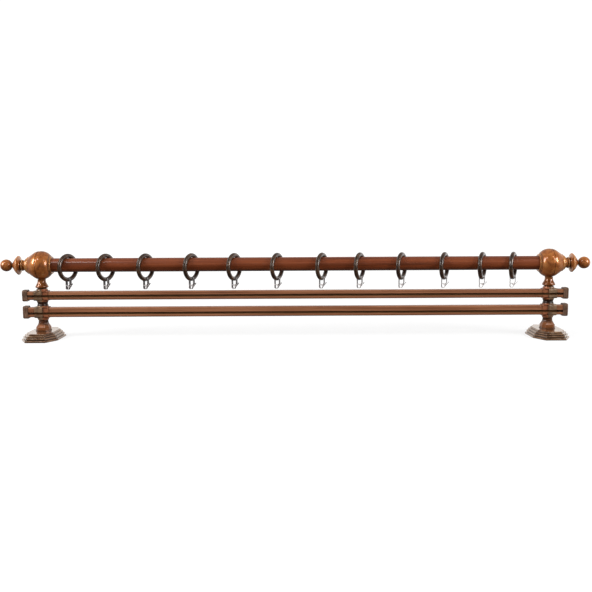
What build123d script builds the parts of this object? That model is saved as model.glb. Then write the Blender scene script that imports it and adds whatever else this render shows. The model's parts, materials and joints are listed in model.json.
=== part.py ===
"""A curtain pole set: a round pole on two stacked brackets, with two C-section tracks behind it.

The set stands on its two wall covers, so +Z points away from the wall. X runs along the pole, the slots of both
tracks face -Y, and the origin is the middle of the face that goes on the wall. Twelve rings hang on the pole, each
with a spring clip below it. All sizes are in millimetres.
"""

import os
from math import cos, radians, sin

from build123d import *

# Pole and its height over the wall
pole_diameter = 30.0
pole_wall = 1.2
pole_z = 159.5

# Brackets: the stems stand at +-bracket_x, and each bulb is split at +-split_x
bracket_x = 548.5
split_x = 552.0
fit = 0.1

# Wall cover: a long octagon in moulded tiers, and the plate that it hides
cover_x, cover_y = 78.0, 120.0
corner_x, corner_y = 17.5, 32.0
cover_top = 17.0
cover_roof = 3.5
rim_inset = 6.0
pocket_inset = 13.0
plate_thickness = 3.0
hub_radius = 10.0
wall_hole_x, wall_hole_y = 30.0, 72.0
wall_hole_radius = 2.6
tiers = (
    # from z, to z, inset from the foot's outline, rounding of the upper edge
    (0.0, 4.0, 0.0, 1.8),
    (4.0, 6.0, 4.4, 0.0),
    (6.0, 9.2, 3.0, 1.5),
    (9.2, 10.2, 7.0, 0.0),
    (10.2, 13.2, 6.2, 1.4),
    (13.2, cover_top, 10.6, 2.0),
)

# Bracket stack, from the wall outwards
pedestal_top = 41.6
pedestal_flats = 29.5
pedestal_corner = 6.4
pedestal_foot = 1.6
pedestal_step = 0.9
block_top = 25.5
stem_bottom = 35.0
throat_flats = 18.4
sweep_steps = 6
sweep_curve = 1.4
holder_margin = 10.6
holder_outer, holder_inner = 16.5, 14.2
ridge_margin = 7.0
ridge_width = 4.4
mouth_margin = 2.8
spacer_radius = 11.6
spacer_waist = 10.6
collar_radius = 15.4
collar_drop = 5.0
neck_radius = 8.6
bell_radius = 13.8

# Tracks: the middle of each section, its height, and how far its slot lies below the middle
lower_track = (57.6, 21.4, 2.3)
upper_track = (93.8, 18.6, 0.9)
track_depth = 16.0
track_wall = 1.5
track_slot = 5.0
track_corner = 3.0
track_half_length = 580.0
cap_length = 11.0
cap_margin, cap_depth = 6.0, 19.0
cap_spigot = 9.0
spigot_setback = 6.0
spigot_corner = 1.6
cap_overlap = 1.0
cap_grooves = (3.6, 7.2)

# Bulb, socket and finial, as distances outwards from the split and radii about the pole's axis
bulb_radius = 30.3
groove_depth = 0.9
socket_floor = 6.0
socket_mouth = 28.5
disc_radius = 20.5
finial_ball_radius = 13.0
finial_ball_at = 71.0
finial_waist = 4.6

# Studs and grub screws
stud_radius = 3.0
base_stud_radius = 4.0
stud_depth = 8.5
bore_depth = 9.0
base_bore_depth = 13.0
grub_radius = 2.0
pole_screw_x = 534.0

# Rings, and where each hangs along the pole
ring_inner, ring_outer = 20.9, 30.1
ring_gap = 0.3
ring_groove = 0.9
rings = (
    # place along the pole, and how far the ring is turned about the upright, in degrees
    (-490.6, -26.5),
    (-409.0, -26.5),
    (-323.0, -26.0),
    (-224.0, -25.5),
    (-131.6, -25.5),
    (-39.0, -24.5),
    (57.6, -25.0),
    (139.3, -24.5),
    (229.6, -25.5),
    (322.0, -26.0),
    (403.8, -26.0),
    (470.4, -26.5),
)

# Clips: heights are taken from the outer bottom of the ring, widths along the ring's own axis
sheet = 0.8
clip_half_width = 3.5
leg_at = 5.4
leg_bottom = -8.6
lip_bottom = -17.2
pin_radius = 1.0
pin_reach = 6.6
jaw_half_width = 2.5
jaw_pivot = (3.0, -11.0)
jaw_pin_radius = 0.6
spring_radius = 1.75
spring_half_width = 1.3
running_fit = 0.05

# Longer than any piece that a through hole crosses
right_through = 60.0

# Worked out from the sizes above
pole_radius = pole_diameter / 2
tube_radius = (ring_outer - ring_inner) / 2
ring_z = pole_z + pole_radius + ring_gap - ring_inner
ring_bottom = ring_z - ring_outer
corner_share = pedestal_corner / pedestal_flats
lower_track_z, upper_track_z = lower_track[0], upper_track[0]
passage_depth = track_depth + 2 * fit
lower_holder_top = lower_track_z + (lower_track[1] + holder_margin) / 2
upper_holder_top = upper_track_z + (upper_track[1] + holder_margin) / 2
upper_holder_bottom = upper_track_z - (upper_track[1] + holder_margin) / 2
pole_half_length = split_x - socket_floor - 1.0


def save(part, name):
    """Labels a finished piece and writes it."""
    part.label = name
    export_step(part, f"parts/{name}.step")


def save_pair(part, name):
    """Writes a piece of the right-hand bracket, and its mirror image on the left."""
    with BuildPart() as right:
        add(part)
    save(right.part, f"{name}_right")
    with BuildPart() as left:
        mirror(part, about=Plane.YZ)
    save(left.part, f"{name}_left")


def draw_octagon(length_x, length_y, cut_x, cut_y, inset=0.0):
    """Adds an octagon with cut corners to the open sketch, drawn in by inset on every side."""
    half_x, half_y = length_x / 2, length_y / 2
    corners = [
        (half_x, half_y - cut_y),
        (half_x - cut_x, half_y),
        (cut_x - half_x, half_y),
        (-half_x, half_y - cut_y),
        (-half_x, cut_y - half_y),
        (cut_x - half_x, -half_y),
        (half_x - cut_x, -half_y),
        (half_x, cut_y - half_y),
    ]
    outline = Polygon(*corners, align=None, mode=Mode.PRIVATE)
    add(offset(outline, -inset, kind=Kind.INTERSECTION, mode=Mode.PRIVATE) if inset else outline)


def at_bracket(z):
    """The level plane at height z, centred on the right-hand bracket."""
    return Plane(origin=(bracket_x, 0, z), x_dir=(1, 0, 0), z_dir=(0, 0, 1))


def stem_profile():
    """The upright plane whose X is the radius from the right-hand stem's axis and whose Y is the height."""
    return Plane(origin=(bracket_x, 0, 0), x_dir=(1, 0, 0), z_dir=(0, -1, 0))


def pole_profile():
    """The upright plane whose X is the distance outwards from the split and whose Y is the radius."""
    return Plane(origin=(split_x, 0, pole_z), x_dir=(1, 0, 0), z_dir=(0, -1, 0))


stem_axis = Axis((bracket_x, 0, 0), (0, 0, 1))
pole_axis = Axis((0, 0, pole_z), (1, 0, 0))


def drill_stem(radius, from_z, to_z):
    """Cuts a hole up the stem's axis."""
    with BuildSketch(at_bracket(from_z)) as hole:
        Circle(radius)
    extrude(hole.sketch, amount=to_z - from_z, mode=Mode.SUBTRACT)


def make_cover():
    """The moulded wall cover: tiers with rounded edges, hollow underneath for the plate and its screws."""
    with BuildPart() as cover:
        for low, high, inset, rounding in tiers:
            with BuildPart(mode=Mode.PRIVATE) as tier:
                with BuildSketch(at_bracket(low)):
                    draw_octagon(cover_x, cover_y, corner_x, corner_y, inset)
                extrude(amount=high - low)
                if rounding:
                    fillet(tier.faces().sort_by(Axis.Z)[-1].edges(), rounding)
            add(tier.part)
        with BuildSketch(at_bracket(0)):
            draw_octagon(cover_x, cover_y, corner_x, corner_y, rim_inset)
        extrude(amount=plate_thickness + fit, mode=Mode.SUBTRACT)
        with BuildSketch(at_bracket(0)):
            draw_octagon(cover_x, cover_y, corner_x, corner_y, pocket_inset)
        extrude(amount=cover_top - cover_roof, mode=Mode.SUBTRACT)
        drill_stem(base_stud_radius + fit, 0, cover_top)
    return cover.part


def make_plate():
    """The steel plate that is screwed to the wall, with a hub that carries the bracket's stud."""
    with BuildPart() as plate:
        with BuildSketch(at_bracket(0)):
            draw_octagon(cover_x, cover_y, corner_x, corner_y, rim_inset + 2 * fit)
            with GridLocations(wall_hole_x, wall_hole_y, 2, 2):
                Circle(wall_hole_radius, mode=Mode.SUBTRACT)
        extrude(amount=plate_thickness)
        with BuildSketch(at_bracket(plate_thickness)):
            Circle(hub_radius)
        extrude(amount=cover_top - cover_roof - fit - plate_thickness)
        drill_stem(base_stud_radius, 0, cover_top)
    return plate.part


def make_pedestal():
    """The foot of the stem: an octagonal block that sweeps in to a round stem with two beads."""
    with BuildPart() as pedestal:
        with BuildSketch(at_bracket(cover_top)):
            draw_octagon(pedestal_flats, pedestal_flats, pedestal_corner, pedestal_corner)
        extrude(amount=pedestal_foot)
        block_flats = pedestal_flats - 2 * pedestal_step
        for index in range(sweep_steps + 1):
            share = index / sweep_steps
            flats = throat_flats + (block_flats - throat_flats) * (1 - share) ** sweep_curve
            with BuildSketch(at_bracket(block_top + (stem_bottom - block_top) * share)):
                draw_octagon(flats, flats, flats * corner_share, flats * corner_share)
        loft(ruled=True)
        with BuildSketch(at_bracket(cover_top + pedestal_foot)):
            draw_octagon(block_flats, block_flats, block_flats * corner_share, block_flats * corner_share)
        extrude(amount=block_top - cover_top - pedestal_foot)
        with BuildSketch(stem_profile()):
            with BuildLine():
                Line((0, stem_bottom), (9.2, stem_bottom))
                ThreePointArc((9.2, stem_bottom), (10.5, 36.2), (9.5, 37.4))
                ThreePointArc((9.5, 37.4), (10.2, 38.2), (9.5, 39.0))
                Line((9.5, 39.0), (10.4, 40.0))
                Line((10.4, 40.0), (10.4, pedestal_top))
                Line((10.4, pedestal_top), (0, pedestal_top))
                Line((0, pedestal_top), (0, stem_bottom))
            make_face()
        revolve(axis=stem_axis)
        drill_stem(base_stud_radius, cover_top, cover_top + base_bore_depth)
        drill_stem(stud_radius, pedestal_top - bore_depth, pedestal_top)
    return pedestal.part


def across(x, z):
    """The upright plane across a track at x, with Y up."""
    return Plane(origin=(x, 0, z), x_dir=(0, 1, 0), z_dir=(1, 0, 0))


def make_holder(z, track_height, slot_drop):
    """A track holder: a sleeve that flares outwards from a ridge over the stem, open along the track's slot."""
    reach = (track_height + holder_margin) / 2
    ridge = ridge_width / 2
    ridge_height = track_height + ridge_margin
    mouth_height, mouth_depth = track_height + mouth_margin, track_depth + mouth_margin
    passage_height = track_height + 2 * fit
    with BuildPart() as holder:
        sections = (
            (ridge - 0.2, ridge_height - 1.4, mouth_depth + 5.0, 5.0),
            (ridge + 5.2, ridge_height - 3.0, mouth_depth + 2.8, 4.0),
            (holder_outer, mouth_height, mouth_depth, 3.2),
        )
        for out, height, depth, corner in sections:
            with BuildSketch(across(bracket_x + out, z)):
                RectangleRounded(depth, height, corner)
        loft()
        with BuildSketch(across(bracket_x - holder_inner, z)):
            RectangleRounded(mouth_depth + 0.6, mouth_height + 0.4, 3.6)
        extrude(amount=holder_inner)
        with BuildPart(mode=Mode.PRIVATE) as band:
            with BuildSketch(across(bracket_x - ridge, z)):
                RectangleRounded(mouth_depth + 6.4, ridge_height, 6.0)
            extrude(amount=ridge_width)
            fillet(band.faces().filter_by(Axis.X).edges(), 1.2)
        add(band.part)
        for way in (1, -1):
            top = z + way * reach
            with BuildPart(mode=Mode.PRIVATE) as collar:
                with BuildSketch(stem_profile()):
                    with BuildLine():
                        Line((0, top), (spacer_radius, top))
                        ThreePointArc(
                            (spacer_radius, top),
                            (spacer_radius + 0.9, top - way * 3.0),
                            (collar_radius, top - way * collar_drop),
                        )
                        Line((collar_radius, top - way * collar_drop), (0, top - way * collar_drop))
                        Line((0, top - way * collar_drop), (0, top))
                    make_face()
                revolve(axis=stem_axis)
                inner_edge = spacer_radius + 0.3
                with Locations((bracket_x + collar_radius - inner_edge, 0, z)):
                    Box(2 * collar_radius, 2 * inner_edge, 3 * reach, mode=Mode.INTERSECT)
            add(collar.part)
        with BuildSketch(across(bracket_x - holder_outer, z)):
            RectangleRounded(passage_depth, passage_height, track_corner)
            with Locations((-passage_depth, -slot_drop)):
                Rectangle(passage_depth * 2, track_slot + 2 * fit)
        extrude(amount=2 * holder_outer, mode=Mode.SUBTRACT)
        drill_stem(stud_radius, z + passage_height / 2 - 1, z + reach)
        drill_stem(stud_radius, z - reach, z - passage_height / 2 + 1)
        with BuildSketch(Plane(origin=(bracket_x, 0, z), x_dir=(1, 0, 0), z_dir=(0, 1, 0))):
            Circle(grub_radius)
        extrude(amount=right_through, mode=Mode.SUBTRACT)
    return holder.part


def make_spacer():
    """The short turned piece between the two track holders."""
    low, high = lower_holder_top, upper_holder_bottom
    middle = (low + high) / 2
    with BuildPart() as spacer:
        with BuildSketch(stem_profile()):
            with BuildLine():
                Line((0, low), (spacer_radius, low))
                ThreePointArc((spacer_radius, low), (spacer_waist, middle), (spacer_radius, high))
                Line((spacer_radius, high), (0, high))
                Line((0, high), (0, low))
            make_face()
        revolve(axis=stem_axis)
        drill_stem(stud_radius, low, high)
    return spacer.part


def make_cup():
    """The pole cup: the inner half of the bulb, its socket for the pole, and a bell-shaped neck below."""
    neck_bottom = upper_holder_top
    with BuildPart() as cup:
        with BuildSketch(stem_profile()):
            with BuildLine():
                Line((0, neck_bottom), (9.8, neck_bottom))
                Line((9.8, neck_bottom), (9.8, neck_bottom + 1.6))
                Line((9.8, neck_bottom + 1.6), (11.6, neck_bottom + 2.4))
                ThreePointArc(
                    (11.6, neck_bottom + 2.4),
                    (bell_radius, neck_bottom + 4.6),
                    (bell_radius - 0.9, neck_bottom + 6.8),
                )
                Spline(
                    (bell_radius - 0.9, neck_bottom + 6.8),
                    (10.4, neck_bottom + 11.4),
                    (neck_radius, neck_bottom + 18.2),
                    (10.4, neck_bottom + 25.0),
                    tangents=((-0.35, 1.0), (0.5, 1.0)),
                )
                Line((10.4, neck_bottom + 25.0), (0, neck_bottom + 25.0))
                Line((0, neck_bottom + 25.0), (0, neck_bottom))
            make_face()
        revolve(axis=stem_axis)
        with BuildSketch(pole_profile()):
            with BuildLine():
                Line((-socket_floor, 0), (0, 0))
                Line((0, 0), (0, bulb_radius - groove_depth))
                Line((0, bulb_radius - groove_depth), (-groove_depth, bulb_radius))
                Spline(
                    (-groove_depth, bulb_radius),
                    (-4.0, bulb_radius + 0.4),
                    (-11.5, bulb_radius - 0.5),
                    (-17.5, bulb_radius - 3.0),
                    (-23.4, bulb_radius - 7.9),
                    (-26.0, 18.4),
                )
                ThreePointArc((-26.0, 18.4), (-27.6, 18.9), (-socket_mouth, 17.4))
                Line((-socket_mouth, 17.4), (-socket_mouth, 0))
                Line((-socket_mouth, 0), (-socket_floor, 0))
            make_face()
        revolve(axis=pole_axis)
        beyond_split = Plane(origin=(split_x, 0, pole_z), x_dir=(0, 1, 0), z_dir=(1, 0, 0))
        with BuildSketch(beyond_split):
            Circle(bulb_radius + 0.5)
        extrude(amount=10, mode=Mode.SUBTRACT)
        with BuildSketch(Plane(origin=(split_x - socket_floor, 0, pole_z), x_dir=(0, 1, 0), z_dir=(-1, 0, 0))):
            Circle(pole_radius + fit)
        extrude(amount=right_through, mode=Mode.SUBTRACT)
        with BuildSketch(Plane(origin=(split_x - socket_floor, 0, pole_z), x_dir=(0, 1, 0), z_dir=(1, 0, 0))):
            Circle(stud_radius)
        extrude(amount=10, mode=Mode.SUBTRACT)
        with BuildSketch(Plane(origin=(pole_screw_x, 0, pole_z), x_dir=(1, 0, 0), z_dir=(0, 1, 0))):
            Circle(grub_radius)
        extrude(amount=right_through, mode=Mode.SUBTRACT)
        drill_stem(stud_radius, neck_bottom, neck_bottom + bore_depth)
    return cup.part


def make_finial():
    """The finial: the outer half of the bulb, two bands, a beaded waist, a disc and a ball."""
    ball_start = finial_ball_at - (finial_ball_radius**2 - finial_waist**2) ** 0.5
    ball_end = finial_ball_at + finial_ball_radius
    with BuildPart() as finial:
        with BuildSketch(pole_profile()):
            with BuildLine():
                Line((0, 0), (0, bulb_radius - groove_depth))
                Line((0, bulb_radius - groove_depth), (groove_depth, bulb_radius))
                Spline((groove_depth, bulb_radius), (11.6, 25.7), (21.2, 18.8), tangents=((1, -0.12), (1, -0.78)))
                ThreePointArc((21.2, 18.8), (23.7, 18.1), (24.9, 15.8))
                ThreePointArc((24.9, 15.8), (27.3, 15.3), (28.5, 13.3))
                Spline((28.5, 13.3), (33.8, 10.3), tangents=((1, -0.8), (1, -0.2)))
                ThreePointArc((33.8, 10.3), (35.9, 12.0), (38.0, 10.1))
                Line((38.0, 10.1), (38.0, 9.2))
                Line((38.0, 9.2), (39.2, 9.2))
                Line((39.2, 9.2), (39.6, 11.6))
                Spline((39.6, 11.6), (43.0, disc_radius - 1.0), tangents=((1, 0.5), (0.25, 1)))
                ThreePointArc((43.0, disc_radius - 1.0), (44.4, disc_radius), (45.8, disc_radius - 1.2))
                Spline((45.8, disc_radius - 1.2), (50.0, 15.7), (53.8, 10.3), (57.6, finial_waist))
                Line((57.6, finial_waist), (ball_start, finial_waist))
                ThreePointArc((ball_start, finial_waist), (finial_ball_at, finial_ball_radius), (ball_end, 0))
                Line((ball_end, 0), (0, 0))
            make_face()
        revolve(axis=pole_axis)
        with BuildSketch(Plane(origin=(split_x, 0, pole_z), x_dir=(0, 1, 0), z_dir=(1, 0, 0))):
            Circle(stud_radius)
        extrude(amount=14, mode=Mode.SUBTRACT)
    return finial.part


def make_pole():
    """The pole tube, from the bottom of one socket to the other."""
    with BuildPart() as pole:
        with BuildSketch(Plane(origin=(-pole_half_length, 0, pole_z), x_dir=(0, 1, 0), z_dir=(1, 0, 0))):
            Circle(pole_radius)
            Circle(pole_radius - pole_wall, mode=Mode.SUBTRACT)
        extrude(amount=2 * pole_half_length)
    return pole.part


def make_track(z, track_height, slot_drop):
    """A C-section track with rounded corners and its slot along the front."""
    with BuildPart() as track:
        with BuildSketch(across(-track_half_length, z)):
            RectangleRounded(track_depth, track_height, track_corner)
            inside = track_depth - 2 * track_wall, track_height - 2 * track_wall
            RectangleRounded(*inside, track_corner - track_wall, mode=Mode.SUBTRACT)
            with Locations((-track_depth / 2, -slot_drop)):
                Rectangle(3 * track_wall, track_slot, mode=Mode.SUBTRACT)
        extrude(amount=2 * track_half_length)
    return track.part


def make_end_cap(z, track_height, slot_drop):
    """A rounded cap over a track's end, with a C-shaped spigot in its channel that leaves the slot free."""
    start = track_half_length - cap_overlap
    cap_height = track_height + cap_margin
    with BuildPart() as cap:
        with BuildSketch(across(start, z)):
            RectangleRounded(cap_depth, cap_height, 4.0)
        extrude(amount=cap_length)
        fillet(cap.faces().sort_by(Axis.X)[-1].edges(), 2.2)
        fillet(cap.faces().sort_by(Axis.X)[0].edges(), 0.8)
        for groove in cap_grooves:
            with BuildSketch(across(start + groove, z)):
                RectangleRounded(cap_depth + 2, cap_height + 2, 4.5)
                RectangleRounded(cap_depth - 0.7, cap_height - 0.7, 3.7, mode=Mode.SUBTRACT)
            extrude(amount=0.6, mode=Mode.SUBTRACT)
        with BuildSketch(across(start, z)):
            RectangleRounded(passage_depth, track_height + 2 * fit, track_corner)
        extrude(amount=cap_overlap + fit, mode=Mode.SUBTRACT)
        with BuildSketch(across(start + cap_overlap + fit - cap_spigot, z)):
            spigot_depth = track_depth - 2 * track_wall - 3 * fit
            RectangleRounded(spigot_depth, track_height - 2 * track_wall - 3 * fit, spigot_corner)
            with Locations((-spigot_depth / 2, -slot_drop)):
                Rectangle(2 * spigot_setback, track_slot + 1.0, mode=Mode.SUBTRACT)
        extrude(amount=cap_spigot)
    return cap.part


def make_stack_studs():
    """The studs that join one right-hand bracket: three up the stem and one into the finial."""
    shank = stud_radius - running_fit
    lower_half = lower_track[1] / 2 + fit + 0.4
    upper_half = upper_track[1] / 2 + fit + 0.4
    spans = (
        (pedestal_top - stud_depth, lower_track_z - lower_half),
        (lower_track_z + lower_half, upper_track_z - upper_half),
        (upper_track_z + upper_half, upper_holder_top + stud_depth),
    )
    with BuildPart() as studs:
        for low, high in spans:
            with BuildSketch(at_bracket(low)):
                Circle(shank)
            extrude(amount=high - low)
        with BuildSketch(Plane(origin=(split_x - 5.6, 0, pole_z), x_dir=(0, 1, 0), z_dir=(1, 0, 0))):
            Circle(shank)
        extrude(amount=19)
        chamfer(studs.faces().filter_by(GeomType.PLANE).edges(), 0.5)
    return studs.part


def make_base_stud():
    """The stud from the wall plate's hub into the pedestal."""
    with BuildPart() as stud:
        with BuildSketch(at_bracket(0.4)):
            Circle(base_stud_radius - running_fit)
        extrude(amount=cover_top + 12.0)
        chamfer(stud.faces().filter_by(Axis.Z).edges(), 0.6)
    return stud.part


def make_grub_screws():
    """The three grub screws of one bracket, driven from behind: one on each track, one on the pole."""
    seats = (
        (bracket_x, lower_track_z, track_depth / 2),
        (bracket_x, upper_track_z, track_depth / 2),
        (pole_screw_x, pole_z, pole_radius),
    )
    with BuildPart() as screws:
        for x, z, touch in seats:
            with BuildSketch(Plane(origin=(x, touch + running_fit, z), x_dir=(1, 0, 0), z_dir=(0, 1, 0))):
                Circle(grub_radius - running_fit)
            extrude(amount=4.4)
            with BuildSketch(Plane(origin=(x, touch + 2.6, z), x_dir=(1, 0, 0), z_dir=(0, 1, 0))):
                RegularPolygon(1.0, 6)
            extrude(amount=4, mode=Mode.SUBTRACT)
    return screws.part


def clip_plane(x, yaw):
    """The upright plane of a ring and its clip: X runs along the ring's axis, Y is the height over its bottom."""
    along = (cos(radians(yaw)), sin(radians(yaw)), 0)
    across = (sin(radians(yaw)), -cos(radians(yaw)), 0)
    return Plane(origin=(x, 0, ring_bottom), x_dir=along, z_dir=across)


def make_ring(plane):
    """A ring of round section with a groove round its outside, bored at the bottom for the clip's pin."""
    centre = Axis(plane.from_local_coords((0, ring_outer, 0)), plane.x_dir)
    with BuildPart() as ring:
        with BuildSketch(plane):
            with Locations((0, tube_radius)):
                Circle(tube_radius)
            Circle(ring_groove, mode=Mode.SUBTRACT)
        revolve(axis=centre)
        with BuildSketch(Plane(plane.from_local_coords((0, tube_radius, 0)), z_dir=plane.x_dir)):
            Circle(pin_radius + running_fit)
        extrude(amount=2 * tube_radius, both=True, mode=Mode.SUBTRACT)
    return ring.part


def make_clip(plane):
    """The clip's fixed half: two legs on a pin through the ring, a bridge with ears, and the lower lip."""
    pin_height = tube_radius
    leg_top = pin_height + clip_half_width
    with BuildPart() as clip:
        with BuildSketch(plane):
            with BuildLine() as short_leg:
                Polyline((leg_at, leg_top), (leg_at, -5.5), (3.4, leg_bottom), (-leg_at, leg_bottom))
            trace(short_leg.line, line_width=sheet)
            with BuildLine() as long_leg:
                Polyline((-leg_at, leg_top), (-leg_at, -15.2), (-3.9, lip_bottom), (-0.6, lip_bottom))
            trace(long_leg.line, line_width=sheet)
        extrude(amount=clip_half_width, both=True)
        outline = Plane(origin=plane.from_local_coords((-10, 0, 0)), x_dir=plane.z_dir, z_dir=plane.x_dir)
        flip = 1 if outline.y_dir.Z > 0 else -1
        with BuildSketch(outline):
            with Locations((0, flip * pin_height)):
                Circle(clip_half_width)
            with Locations((0, flip * (pin_height - 15))):
                Rectangle(2 * clip_half_width, 30)
        extrude(amount=20, mode=Mode.INTERSECT)
        for side in (1, -1):
            ear_plane = plane.offset(side * (clip_half_width - sheet / 2))
            with BuildSketch(ear_plane):
                with BuildLine():
                    Polyline((-2.4, leg_bottom), (4.4, leg_bottom), (4.6, -10.6), (1.6, -12.0), close=True)
                make_face()
                with Locations(jaw_pivot):
                    Circle(1.7)
            extrude(amount=sheet / 2, both=True)
        with BuildSketch(plane):
            with Locations(jaw_pivot):
                Circle(jaw_pin_radius)
        extrude(amount=clip_half_width + 0.4, both=True)
        pin_plane = Plane(plane.from_local_coords((-pin_reach, pin_height, 0)), z_dir=plane.x_dir)
        with BuildSketch(pin_plane):
            Circle(pin_radius)
        extrude(amount=2 * pin_reach)
        for end in (-pin_reach, leg_at + sheet / 2):
            with BuildSketch(Plane(plane.from_local_coords((end, pin_height, 0)), z_dir=plane.x_dir)):
                Circle(1.8)
            extrude(amount=pin_reach - leg_at - sheet / 2)
    return clip.part


def make_jaw(plane):
    """The sprung jaw: a finger tab, two knuckles on the ears' pin with room for a spring, and a closing end."""
    with BuildPart() as jaw:
        with BuildSketch(plane):
            with BuildLine() as path:
                Polyline((0.55, lip_bottom), (2.6, -13.2), (4.15, -11.2), (6.0, -9.3), (8.6, -6.6), (10.2, -4.0))
            trace(path.line, line_width=sheet)
            with Locations(jaw_pivot):
                Circle(1.45)
                Circle(jaw_pin_radius + running_fit, mode=Mode.SUBTRACT)
        extrude(amount=jaw_half_width, both=True)
        with BuildSketch(plane):
            with Locations(jaw_pivot):
                Circle(spring_radius)
        extrude(amount=spring_half_width, both=True, mode=Mode.SUBTRACT)
    return jaw.part


def main():
    os.makedirs("parts", exist_ok=True)
    save_pair(make_plate(), "mounting_plate")
    save_pair(make_cover(), "base_cover")
    save_pair(make_pedestal(), "pedestal")
    save_pair(make_holder(*lower_track), "lower_track_holder")
    save_pair(make_spacer(), "spacer")
    save_pair(make_holder(*upper_track), "upper_track_holder")
    save_pair(make_cup(), "pole_cup")
    save_pair(make_finial(), "finial")
    save(make_pole(), "pole")
    save(make_track(*upper_track), "upper_track")
    save(make_track(*lower_track), "lower_track")
    groups = (
        ("upper_end_caps", make_end_cap(*upper_track)),
        ("lower_end_caps", make_end_cap(*lower_track)),
        ("joining_studs", make_stack_studs()),
        ("base_studs", make_base_stud()),
        ("grub_screws", make_grub_screws()),
    )
    for name, part in groups:
        with BuildPart() as both:
            add(part)
            mirror(part, about=Plane.YZ)
        save(both.part, name)
    for number, (x, yaw) in enumerate(rings, start=1):
        plane = clip_plane(x, yaw)
        save(make_ring(plane), f"ring_{number:02d}")
        save(make_clip(plane), f"clip_{number:02d}")
        save(make_jaw(plane), f"jaw_{number:02d}")


main()
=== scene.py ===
"""Looks for the double-track curtain pole set: finishes, clip springs, studio and camera. Metres, +Z up."""

import json
import math

import bpy
from mathutils import Matrix, Vector


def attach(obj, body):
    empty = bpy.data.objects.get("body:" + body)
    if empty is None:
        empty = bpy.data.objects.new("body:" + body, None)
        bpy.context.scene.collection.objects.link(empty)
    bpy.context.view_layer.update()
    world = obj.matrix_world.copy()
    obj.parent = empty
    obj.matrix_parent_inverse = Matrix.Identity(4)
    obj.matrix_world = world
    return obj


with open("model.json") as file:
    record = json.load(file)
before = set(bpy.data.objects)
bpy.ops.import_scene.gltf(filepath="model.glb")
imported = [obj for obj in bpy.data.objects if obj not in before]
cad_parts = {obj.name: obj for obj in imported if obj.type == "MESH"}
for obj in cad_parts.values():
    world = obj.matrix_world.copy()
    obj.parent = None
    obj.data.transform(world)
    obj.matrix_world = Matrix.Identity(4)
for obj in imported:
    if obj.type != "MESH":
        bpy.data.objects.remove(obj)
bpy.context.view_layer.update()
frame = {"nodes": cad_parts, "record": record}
nodes = frame["nodes"]

# Camera: straight in front of the set, above the pole and looking slightly down
CAMERA_DISTANCE = 1.6
CAMERA_HEIGHT = 0.2885
CAMERA_ACROSS = 0.0014
CAMERA_LENS = 45.2
CAMERA_ROLL = math.radians(-0.29)
LOOK_DOWN = math.radians(7.08)

# Where colours change, some as painted light and shade on the brackets: the stems' middle, the bulbs' seam,
# then distances and heights on the brackets, and the heights and depth of the tracks' channels
BRACKET_X = 0.5485
BULB_SPLIT_X = 0.552
NECK_FADE = (0.127, 0.136)
FOOT_FADE = (0.029, 0.032)
HOLDER_SPLIT = (0.0020, 0.0030)
COLLARS = (0.0716, 0.0812)
TRACK_CHANNELS = ((0.0486, 0.0666), (0.0862, 0.1014))
CHANNEL_DEPTH = (-0.0066, 0.0067)

# Across the broad faces of the clips' legs, where shade is painted nearly black
CLIP_FACES = (0.9, -0.43, 0.0)

# Crests of the bulb's and finial's turned beads, and the grooves beside them, outwards from the bulb's split:
# where highlights and shade are painted
BEAD_CRESTS = ((-0.0278, -0.0258), (0.0214, 0.0243), (0.0258, 0.0280), (0.0348, 0.0370), (0.0434, 0.0454))
BEAD_GROOVES = ((-0.0250, -0.0238), (0.0246, 0.0254), (0.0284, 0.0296))

# Torsion springs of the clips
SPRING_RADIUS = 0.00095
SPRING_HALF = 0.00095
SPRING_WIRE = 0.00016
SPRING_TURNS = 5
SPRING_STEPS = 14
SPRING_SIDES = 8
SPRING_TAILS = (0.0017, 0.0015)

# Studio
FLOOR_SIZE = 14.0
BACKDROP_AT = 3.0
BACKDROP_BEND = 1.2
BACKDROP_TOP = 6.0
FLOOR_GLOW = 0.74
BACKDROP_GLOW = 0.985
GLOW_FROM, GLOW_TO = 0.1, 2.4
BACKDROP_STEPS = 12


def srgb(red, green, blue):
    """A colour given in display values from 0 to 255, as the linear colour that shaders take."""
    def linear(value):
        share = value / 255
        return share / 12.92 if share <= 0.04045 else ((share + 0.055) / 1.055) ** 2.4
    return (linear(red), linear(green), linear(blue), 1.0)


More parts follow.
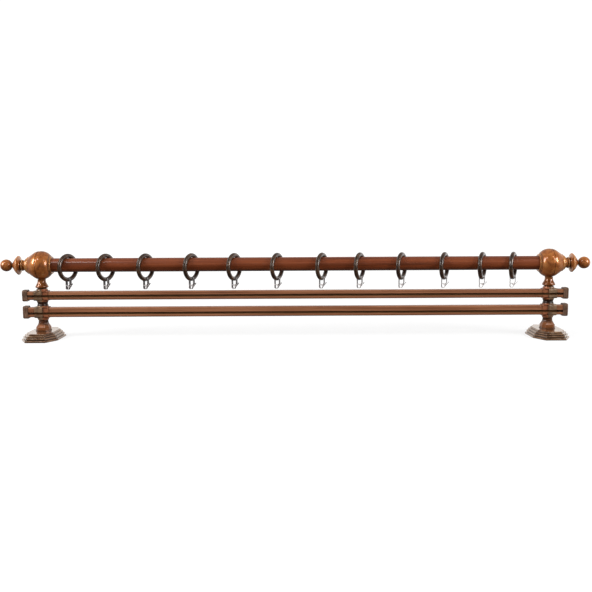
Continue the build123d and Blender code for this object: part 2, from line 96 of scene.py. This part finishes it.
class Shader:
    """A material's node tree, with short calls for the nodes that the finishes share."""

    def __init__(self, name):
        self.material = bpy.data.materials.new(name)
        self.material.use_nodes = True
        self.tree = self.material.node_tree
        self.surface = self.tree.nodes["Principled BSDF"]
        place = self.tree.nodes.new("ShaderNodeTexCoord")
        self.place = place.outputs["Object"]

    def node(self, kind, **values):
        made = self.tree.nodes.new("ShaderNode" + kind)
        for key, value in values.items():
            setattr(made, key, value)
        return made

    def link(self, source, target):
        self.tree.links.new(source, target)

    def set(self, **values):
        """Sets constants on the surface's own sockets."""
        for key, value in values.items():
            self.surface.inputs[key.replace("_", " ")].default_value = value

    def stretched(self, scale):
        """The object's coordinates, scaled along each axis."""
        mapping = self.node("Mapping")
        mapping.inputs["Scale"].default_value = scale
        self.link(self.place, mapping.inputs["Vector"])
        return mapping.outputs["Vector"]

    def noise(self, scale, detail=4.0, roughness=0.55, vector=None, distortion=0.0):
        texture = self.node("TexNoise")
        texture.inputs["Scale"].default_value = scale
        texture.inputs["Detail"].default_value = detail
        texture.inputs["Roughness"].default_value = roughness
        texture.inputs["Distortion"].default_value = distortion
        self.link(vector or self.place, texture.inputs["Vector"])
        return texture.outputs["Fac"]

    def ramp(self, value, *stops):
        """A colour ramp through (position, colour) stops."""
        made = self.node("ValToRGB")
        band = made.color_ramp
        while len(band.elements) < len(stops):
            band.elements.new(0.5)
        for element, (position, colour) in zip(band.elements, stops):
            element.position = position
            element.color = colour
        self.link(value, made.inputs["Fac"])
        return made.outputs["Color"]

    def range(self, value, low, high, to_low, to_high):
        made = self.node("MapRange")
        for key, number in (("From Min", low), ("From Max", high), ("To Min", to_low), ("To Max", to_high)):
            made.inputs[key].default_value = number
        self.link(value, made.inputs["Value"])
        return made.outputs["Result"]

    def mix(self, share, first, second):
        """Blends two colours. Each value is a constant or another node's output."""
        made = self.node("Mix", data_type="RGBA")
        colours = [socket for socket in made.inputs if socket.type == "RGBA"]
        for socket, value in zip([made.inputs["Factor"], *colours], (share, first, second)):
            if isinstance(value, (int, float, tuple)):
                socket.default_value = value
            else:
                self.link(value, socket)
        return next(socket for socket in made.outputs if socket.type == "RGBA")

    def crevice_shade(self, reach, low=0.35, high=0.95):
        """Ambient occlusion of the whole scene: 0 deep in a groove or corner or close to another part, rising
        to 1 on open faces, within reach. A colour mixed in by it is painted shade, and on antiqued metal
        partly patina as well.
        """
        made = self.node("AmbientOcclusion", samples=8)
        made.inputs["Distance"].default_value = reach
        return self.range(made.outputs["AO"], low, high, 0.0, 1.0)

    def math(self, operation, first, second=0.0):
        made = self.node("Math", operation=operation)
        for socket, value in zip(made.inputs, (first, second)):
            if isinstance(value, float):
                socket.default_value = value
            else:
                self.link(value, socket)
        return made.outputs["Value"]

    def axis(self, letter):
        """One of the object's coordinates."""
        made = self.node("SeparateXYZ")
        self.link(self.place, made.inputs["Vector"])
        return made.outputs[letter]

    def band(self, value, low, high, soft):
        """1 between low and high, 0 outside."""
        rise = self.range(value, low - soft, low + soft, 0.0, 1.0)
        return self.math("MULTIPLY", rise, self.range(value, high - soft, high + soft, 1.0, 0.0))

    def bump(self, height, strength, distance):
        made = self.node("Bump")
        made.inputs["Strength"].default_value = strength
        made.inputs["Distance"].default_value = distance
        self.link(height, made.inputs["Height"])
        self.link(made.outputs["Normal"], self.surface.inputs["Normal"])

    def colour(self, value):
        self.link(value, self.surface.inputs["Base Color"])

    def rough(self, value):
        self.link(value, self.surface.inputs["Roughness"])


def patinated(name, dark, middle, light, grime_and_shade, reach, metallic, roughness, coat, coat_tint, zones=None):
    """An antiqued metal under tinted lacquer: softly mottled, finely speckled, and darkened by ambient
    occlusion, which is patina in its own grooves and painted shade in corners and where other parts come
    close.

    zones, if there is one, takes the shader and its colour and gives back the colour with some areas changed.
    """
    shader = Shader(name)
    cloud = shader.noise(42.0, detail=6.0, roughness=0.62, distortion=0.9)
    base = shader.ramp(cloud, (0.32, dark), (0.5, middle), (0.7, light))
    if zones:
        base = zones(shader, base)
    specks = shader.range(shader.noise(560.0, detail=2.0), 0.6, 0.7, 0.0, 0.45)
    speckled = shader.mix(specks, base, grime_and_shade)
    # Ambient occlusion mixes in the grime colour: patina in the part's own grooves, painted shade in corners
    # and where other parts come close
    shader.colour(shader.mix(shader.crevice_shade(reach), grime_and_shade, speckled))
    shader.rough(shader.range(cloud, 0.3, 0.7, roughness * 1.25, roughness * 0.8))
    shader.bump(shader.noise(300.0, detail=3.0), 0.06, 0.0003)
    shader.set(
        Metallic=metallic, Specular_IOR_Level=0.3, Coat_Weight=coat, Coat_Roughness=0.07, Coat_IOR=1.5,
        Coat_Tint=coat_tint)
    return shader.material


def bulb_zones(shader, base):
    """Darker on the bell under the bulb, with painted highlights along the crests of the turned beads and
    painted shade in their grooves.
    """
    below = shader.range(shader.axis("Z"), *NECK_FADE, 0.6, 0.0)
    toned = shader.mix(below, base, srgb(84, 46, 26))
    outwards = shader.math("SUBTRACT", shader.math("ABSOLUTE", shader.axis("X")), BULB_SPLIT_X)
    # Painted highlights along the bead crests
    for low, high in BEAD_CRESTS:
        crest_highlight = shader.math("MULTIPLY", shader.band(outwards, low, high, 0.0004), 0.6)
        toned = shader.mix(crest_highlight, toned, srgb(236, 192, 146))
    # Painted shade in the grooves beside the beads
    for low, high in BEAD_GROOVES:
        groove = shader.math("MULTIPLY", shader.band(outwards, low, high, 0.0003), 0.7)
        toned = shader.mix(groove, toned, srgb(64, 36, 20))
    return toned


def foot_zones(shader, base):
    """The octagonal block of the pedestal is a lighter orange copper than its stem."""
    block = shader.range(shader.axis("Z"), *FOOT_FADE, 0.6, 0.0)
    return shader.mix(block, base, srgb(150, 92, 52))


def holder_zones(shader, base):
    """Painted light: orange-brown on the half towards the tracks' middle. Painted shade: nearly black on the
    collars between holders.
    """
    across = shader.math("ABSOLUTE", shader.axis("X"))
    near, far = HOLDER_SPLIT
    # Painted light: the half towards the tracks' middle turns orange-brown
    inner_light = shader.range(across, BRACKET_X - far, BRACKET_X - near, 1.0, 0.0)
    toned = shader.mix(inner_light, base, shader.mix(0.25, srgb(170, 102, 70), base))
    # Painted shade: the collars between the holders turn nearly black
    between = shader.band(shader.axis("Z"), *COLLARS, 0.0006)
    return shader.mix(shader.math("MULTIPLY", between, 0.9), toned, srgb(34, 20, 15))


def wood_film(name, dark, middle, light, roughness, coat, coat_roughness, channels=()):
    """A wood-grain film on metal: long fine streaks along X under a thin clear lacquer.

    channels are the (bottom, top) heights of hollow channels, whose insides are the paler bare metal.
    """
    shader = Shader(name)
    long_streaks = shader.noise(1.0, detail=7.0, roughness=0.65, vector=shader.stretched((3.5, 170.0, 170.0)))
    pores = shader.noise(1.0, detail=3.0, vector=shader.stretched((30.0, 1100.0, 1100.0)))
    broad = shader.noise(1.0, detail=2.0, vector=shader.stretched((5.0, 24.0, 24.0)))
    grain = shader.ramp(long_streaks, (0.32, dark), (0.5, middle), (0.7, light))
    with_pores = shader.mix(shader.range(pores, 0.58, 0.74, 0.0, 0.6), grain, dark)
    toned = shader.mix(shader.range(broad, 0.4, 0.7, 0.0, 0.3), with_pores, light)
    for bottom, top in channels:
        level = shader.band(shader.axis("Z"), bottom, top, 0.0002)
        inside = shader.math("MULTIPLY", level, shader.band(shader.axis("Y"), *CHANNEL_DEPTH, 0.0001))
        toned = shader.mix(inside, toned, srgb(132, 96, 62))
    shader.colour(toned)
    shader.rough(shader.range(long_streaks, 0.3, 0.7, roughness * 1.15, roughness * 0.85))
    shader.bump(pores, 0.05, 0.0002)
    shader.set(Specular_IOR_Level=0.2, Coat_Weight=coat, Coat_Roughness=coat_roughness, Coat_IOR=1.4)
    return shader.material


def ring_finish():
    """Dark bronze lacquer, rubbed to a lighter tan here and there."""
    shader = Shader("ring_dark_bronze")
    wear = shader.noise(130.0, detail=5.0)
    base = shader.ramp(wear, (0.35, srgb(48, 34, 26)), (0.55, srgb(76, 55, 41)), (0.75, srgb(112, 86, 66)))
    # Near black where ambient occlusion falls, in the ring's hollows and where it meets the pole: painted
    # shade
    shader.colour(shader.mix(shader.crevice_shade(0.002), srgb(22, 15, 11), base))
    shader.rough(shader.range(wear, 0.3, 0.7, 0.36, 0.24))
    shader.bump(shader.noise(500.0, detail=3.0), 0.08, 0.0003)
    shader.set(Metallic=0.3, Specular_IOR_Level=0.4, Coat_Weight=0.8, Coat_Roughness=0.16, Coat_IOR=1.5)
    return shader.material


def plated_finish(name, colour, shade, roughness, metallic=1.0, across=None):
    """Plated sheet steel, faintly smeared, with painted shade in its corners and painted shade, nearly black,
    on the faces that lie across a direction.
    """
    shader = Shader(name)
    smear = shader.noise(260.0, detail=4.0)
    plate = shader.ramp(smear, (0.35, shade), (0.65, colour))
    if across:
        facing = shader.node("VectorMath", operation="DOT_PRODUCT")
        facing.inputs[1].default_value = across
        place = shader.node("TexCoord")
        shader.link(place.outputs["Normal"], facing.inputs[0])
        # Faces that lie across the direction turn near black: painted shade
        broad = shader.range(shader.math("ABSOLUTE", facing.outputs["Value"]), 0.35, 0.9, 0.0, 0.94)
        plate = shader.mix(broad, plate, srgb(46, 36, 34))
    # Dark grey where ambient occlusion falls: painted shade in corners and where other parts come close
    shader.colour(shader.mix(shader.crevice_shade(0.0012, 0.15, 0.6), srgb(60, 54, 52), plate))
    shader.rough(shader.range(smear, 0.3, 0.7, roughness * 0.7, roughness * 1.4))
    shader.bump(shader.noise(900.0, detail=2.0), 0.06, 0.0001)
    shader.set(Metallic=metallic)
    return shader.material


def dress_nodes():
    """Gives every CAD node its finish."""
    amber = (0.9, 0.72, 0.5, 1.0)
    umber = (0.8, 0.66, 0.52, 1.0)
    copper = patinated(
        "antique_copper", srgb(122, 74, 42), srgb(178, 116, 70), srgb(210, 152, 98), srgb(46, 30, 16),
        reach=0.005, metallic=0.35, roughness=0.3, coat=0.9, coat_tint=amber, zones=bulb_zones)
    stem = patinated(
        "stem_copper", srgb(58, 32, 18), srgb(98, 58, 34), srgb(136, 86, 54), srgb(20, 11, 7),
        reach=0.006, metallic=0.3, roughness=0.4, coat=0.15, coat_tint=amber, zones=foot_zones)
    # Near-black for the spacers between the holders: painted shade
    spacer = patinated(
        "spacer_shade", srgb(22, 13, 9), srgb(34, 20, 14), srgb(58, 34, 24), srgb(12, 7, 5),
        reach=0.008, metallic=0.2, roughness=0.35, coat=0.3, coat_tint=amber)
    holder = patinated(
        "holder_bronze", srgb(92, 72, 58), srgb(130, 104, 82), srgb(164, 134, 106), srgb(36, 26, 19),
        reach=0.003, metallic=0.3, roughness=0.32, coat=0.4, coat_tint=umber, zones=holder_zones)
    base = patinated(
        "base_bronze", srgb(104, 82, 68), srgb(144, 118, 98), srgb(174, 148, 126), srgb(30, 20, 14),
        reach=0.003, metallic=0.5, roughness=0.2, coat=1.0, coat_tint=umber)
    cap = patinated(
        "cap_brown", srgb(74, 54, 42), srgb(104, 78, 62), srgb(128, 98, 80), srgb(32, 22, 16),
        reach=0.002, metallic=0.0, roughness=0.5, coat=0.1, coat_tint=umber)
    pole = wood_film(
        "pole_woodgrain", srgb(78, 36, 17), srgb(108, 51, 26), srgb(128, 68, 39),
        roughness=0.4, coat=0.7, coat_roughness=0.14)
    track = wood_film(
        "track_woodgrain", srgb(98, 58, 38), srgb(134, 86, 58), srgb(160, 108, 78),
        roughness=0.42, coat=0.35, coat_roughness=0.2, channels=TRACK_CHANNELS)
    ring = ring_finish()
    chrome = plated_finish(
        "clip_chrome", srgb(240, 234, 232), srgb(206, 198, 196),
        roughness=0.25, metallic=0.15, across=CLIP_FACES)
    steel = plated_finish("zinc_steel", srgb(186, 188, 190), srgb(150, 152, 156), roughness=0.34)
    finishes = {
        "aged_copper": copper, "stem_bronze": stem, "holder_bronze": holder, "base_bronze": base,
        "cap_brown": cap, "pole_woodgrain": pole, "track_brown": track, "ring_bronze": ring,
        "clip_chrome": chrome, "steel": steel,
    }
    for part in frame["record"]["subparts"]:
        finish = spacer if part["node"].startswith("spacer") else finishes[part["material_slot"]]
        for slot in nodes[part["node"]].material_slots:
            slot.material = finish


def make_spring(number, pivot, axis):
    """The torsion spring of one clip: coils round the jaw's pivot and a short tail at each end."""
    up = Vector((0.0, 0.0, 1.0))
    out = up.cross(axis)
    if out.x < 0:
        out.negate()
    middle = Vector(pivot)
    left = middle - out * SPRING_RADIUS
    first_tail, last_tail = SPRING_TAILS
    path = [left - axis * SPRING_HALF + up * first_tail]
    steps = SPRING_TURNS * SPRING_STEPS
    for step in range(steps + 1):
        share = step / steps
        angle = math.pi - 2 * math.pi * SPRING_TURNS * share
        spoke = out * math.cos(angle) + up * math.sin(angle)
        path.append(middle + axis * SPRING_HALF * (2 * share - 1) + spoke * SPRING_RADIUS)
    path.append(left + axis * SPRING_HALF + up * last_tail)
    verts, faces, sides = [], [], SPRING_SIDES
    for index, point in enumerate(path):
        along = (path[min(index + 1, len(path) - 1)] - path[max(index - 1, 0)]).normalized()
        first = along.cross(axis).normalized()
        second = along.cross(first)
        for side in range(sides):
            angle = 2 * math.pi * side / sides
            verts.append(point + (first * math.cos(angle) + second * math.sin(angle)) * SPRING_WIRE)
    for ring in range(len(path) - 1):
        for side in range(sides):
            here, beside = ring * sides + side, ring * sides + (side + 1) % sides
            faces.append((here, beside, beside + sides, here + sides))
    faces.append(tuple(reversed(range(sides))))
    faces.append(tuple(range(len(verts) - sides, len(verts))))
    mesh = bpy.data.meshes.new(f"spring_{number}")
    mesh.from_pydata(verts, [], faces)
    for face in mesh.polygons:
        face.use_smooth = True
    mesh.materials.append(bpy.data.materials["spring_steel"])
    spring = bpy.data.objects.new(f"spring_{number}", mesh)
    bpy.context.scene.collection.objects.link(spring)
    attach(spring, f"clip_{number}")


def make_springs():
    plated_finish("spring_steel", srgb(150, 150, 152), srgb(110, 110, 114), 0.25)
    for joint in frame["record"]["behaviour"]["joints"]:
        if joint["name"].startswith("jaw_"):
            make_spring(joint["name"].split("_")[1], joint["pos_m"], Vector(joint["axis"]))


def make_floor():
    """A pale floor that curves up into a backdrop."""
    half = FLOOR_SIZE / 2
    outline = [(-half, 0.0), (BACKDROP_AT, 0.0)]
    for step in range(1, BACKDROP_STEPS + 1):
        angle = math.pi / 2 * step / BACKDROP_STEPS
        outline.append((BACKDROP_AT + BACKDROP_BEND * math.sin(angle), BACKDROP_BEND * (1 - math.cos(angle))))
    outline.append((BACKDROP_AT + BACKDROP_BEND, BACKDROP_TOP))
    verts = [(x, y, z) for y, z in outline for x in (-half, half)]
    faces = [(2 * i, 2 * i + 1, 2 * i + 3, 2 * i + 2) for i in range(len(outline) - 1)]
    mesh = bpy.data.meshes.new("studio_floor")
    mesh.from_pydata(verts, [], faces)
    floor = bpy.data.objects.new("studio_floor", mesh)
    bpy.context.scene.collection.objects.link(floor)
    shader = Shader("studio_white")
    tone = shader.ramp(shader.noise(0.6), (0.4, srgb(138, 138, 138)), (0.6, srgb(144, 144, 144)))
    shader.colour(tone)
    glow = shader.range(shader.axis("Y"), GLOW_FROM, GLOW_TO, FLOOR_GLOW, BACKDROP_GLOW)
    shader.link(glow, shader.surface.inputs["Emission Strength"])
    shader.set(Roughness=0.8, Specular_IOR_Level=0.1, Emission_Color=(1, 1, 1, 1))
    mesh.materials.append(shader.material)
    for face in mesh.polygons:
        face.use_smooth = True
    # The glow only keeps the floor white in the picture, so it neither lights the set nor shows in it
    floor.visible_diffuse = False
    floor.visible_glossy = False


def area_light(name, place, target, size_x, size_y, power, reflected=True):
    light = bpy.data.lights.new(name, "AREA")
    light.shape = "RECTANGLE"
    light.size = size_x
    light.size_y = size_y
    light.energy = power
    lamp = bpy.data.objects.new(name, light)
    bpy.context.scene.collection.objects.link(lamp)
    away = Vector(place) - Vector(target)
    lamp.rotation_euler = away.to_track_quat("Z", "Y").to_euler()
    lamp.location = place
    lamp.visible_glossy = reflected


def light_studio():
    """A soft light overhead, a tall softbox and a small strip to each side, and a low fill."""
    area_light("overhead", (0.0, -0.2, 2.4), (0.0, 0.0, 0.1), 3.0, 1.6, 30.0, reflected=False)
    area_light("softbox_left", (-2.4, -1.1, 1.25), (-0.3, 0, 0.14), 0.9, 1.3, 52.0)
    area_light("softbox_right", (2.4, -1.4, 1.0), (0.3, 0, 0.14), 0.9, 1.3, 46.0)
    area_light("strip_left", (-1.25, -1.4, 2.1), (-0.45, 0.0, 0.16), 0.5, 0.3, 7.0)
    area_light("strip_right", (1.45, -1.4, 2.1), (0.5, 0.0, 0.16), 0.3, 0.2, 2.6)
    area_light("fill", (0.0, -3.0, 1.2), (0.0, 0.0, 0.1), 2.4, 1.2, 40.0, reflected=False)


def make_room():
    """The room that the gloss reflects: bright behind the set, dark behind the camera, below and high up."""
    world = bpy.data.worlds.new("studio")
    bpy.context.scene.world = world
    world.use_nodes = True
    tree = world.node_tree
    place = tree.nodes.new("ShaderNodeTexCoord")
    along = tree.nodes.new("ShaderNodeSeparateXYZ")
    tree.links.new(place.outputs["Generated"], along.inputs["Vector"])

    def fade(letter, low, high, to_low, to_high, kind="LINEAR"):
        made = tree.nodes.new("ShaderNodeMapRange")
        made.interpolation_type = kind
        for key, number in (("From Min", low), ("From Max", high), ("To Min", to_low), ("To Max", to_high)):
            made.inputs[key].default_value = number
        tree.links.new(along.outputs[letter], made.inputs["Value"])
        return made.outputs["Result"]

    def product(first, second):
        made = tree.nodes.new("ShaderNodeMath")
        made.operation = "MULTIPLY"
        tree.links.new(first, made.inputs[0])
        tree.links.new(second, made.inputs[1])
        return made.outputs["Value"]

    depth = fade("Y", -0.6, 0.6, 0.1, 1.1, "SMOOTHSTEP")
    height = product(fade("Z", -0.45, -0.1, 0.15, 1.0), fade("Z", 0.2, 0.6, 1.0, 0.3))
    background = tree.nodes["Background"]
    background.inputs["Color"].default_value = (1.0, 1.0, 1.0, 1.0)
    tree.links.new(product(depth, height), background.inputs["Strength"])


def place_camera():
    camera = bpy.data.cameras.new("camera")
    camera.lens = CAMERA_LENS
    camera.sensor_width = 36.0
    camera.clip_start = 0.01
    camera.clip_end = 50.0
    body = bpy.data.objects.new("camera", camera)
    bpy.context.scene.collection.objects.link(body)
    tilt = Matrix.Rotation(math.pi / 2 - LOOK_DOWN, 4, "X")
    roll = Matrix.Rotation(CAMERA_ROLL, 4, "Z")
    body.matrix_world = Matrix.Translation((CAMERA_ACROSS, -CAMERA_DISTANCE, CAMERA_HEIGHT)) @ tilt @ roll
    bpy.context.scene.camera = body


bpy.context.scene.view_settings.view_transform = "Standard"
place_camera()
dress_nodes()
make_springs()
make_floor()
light_studio()
make_room()
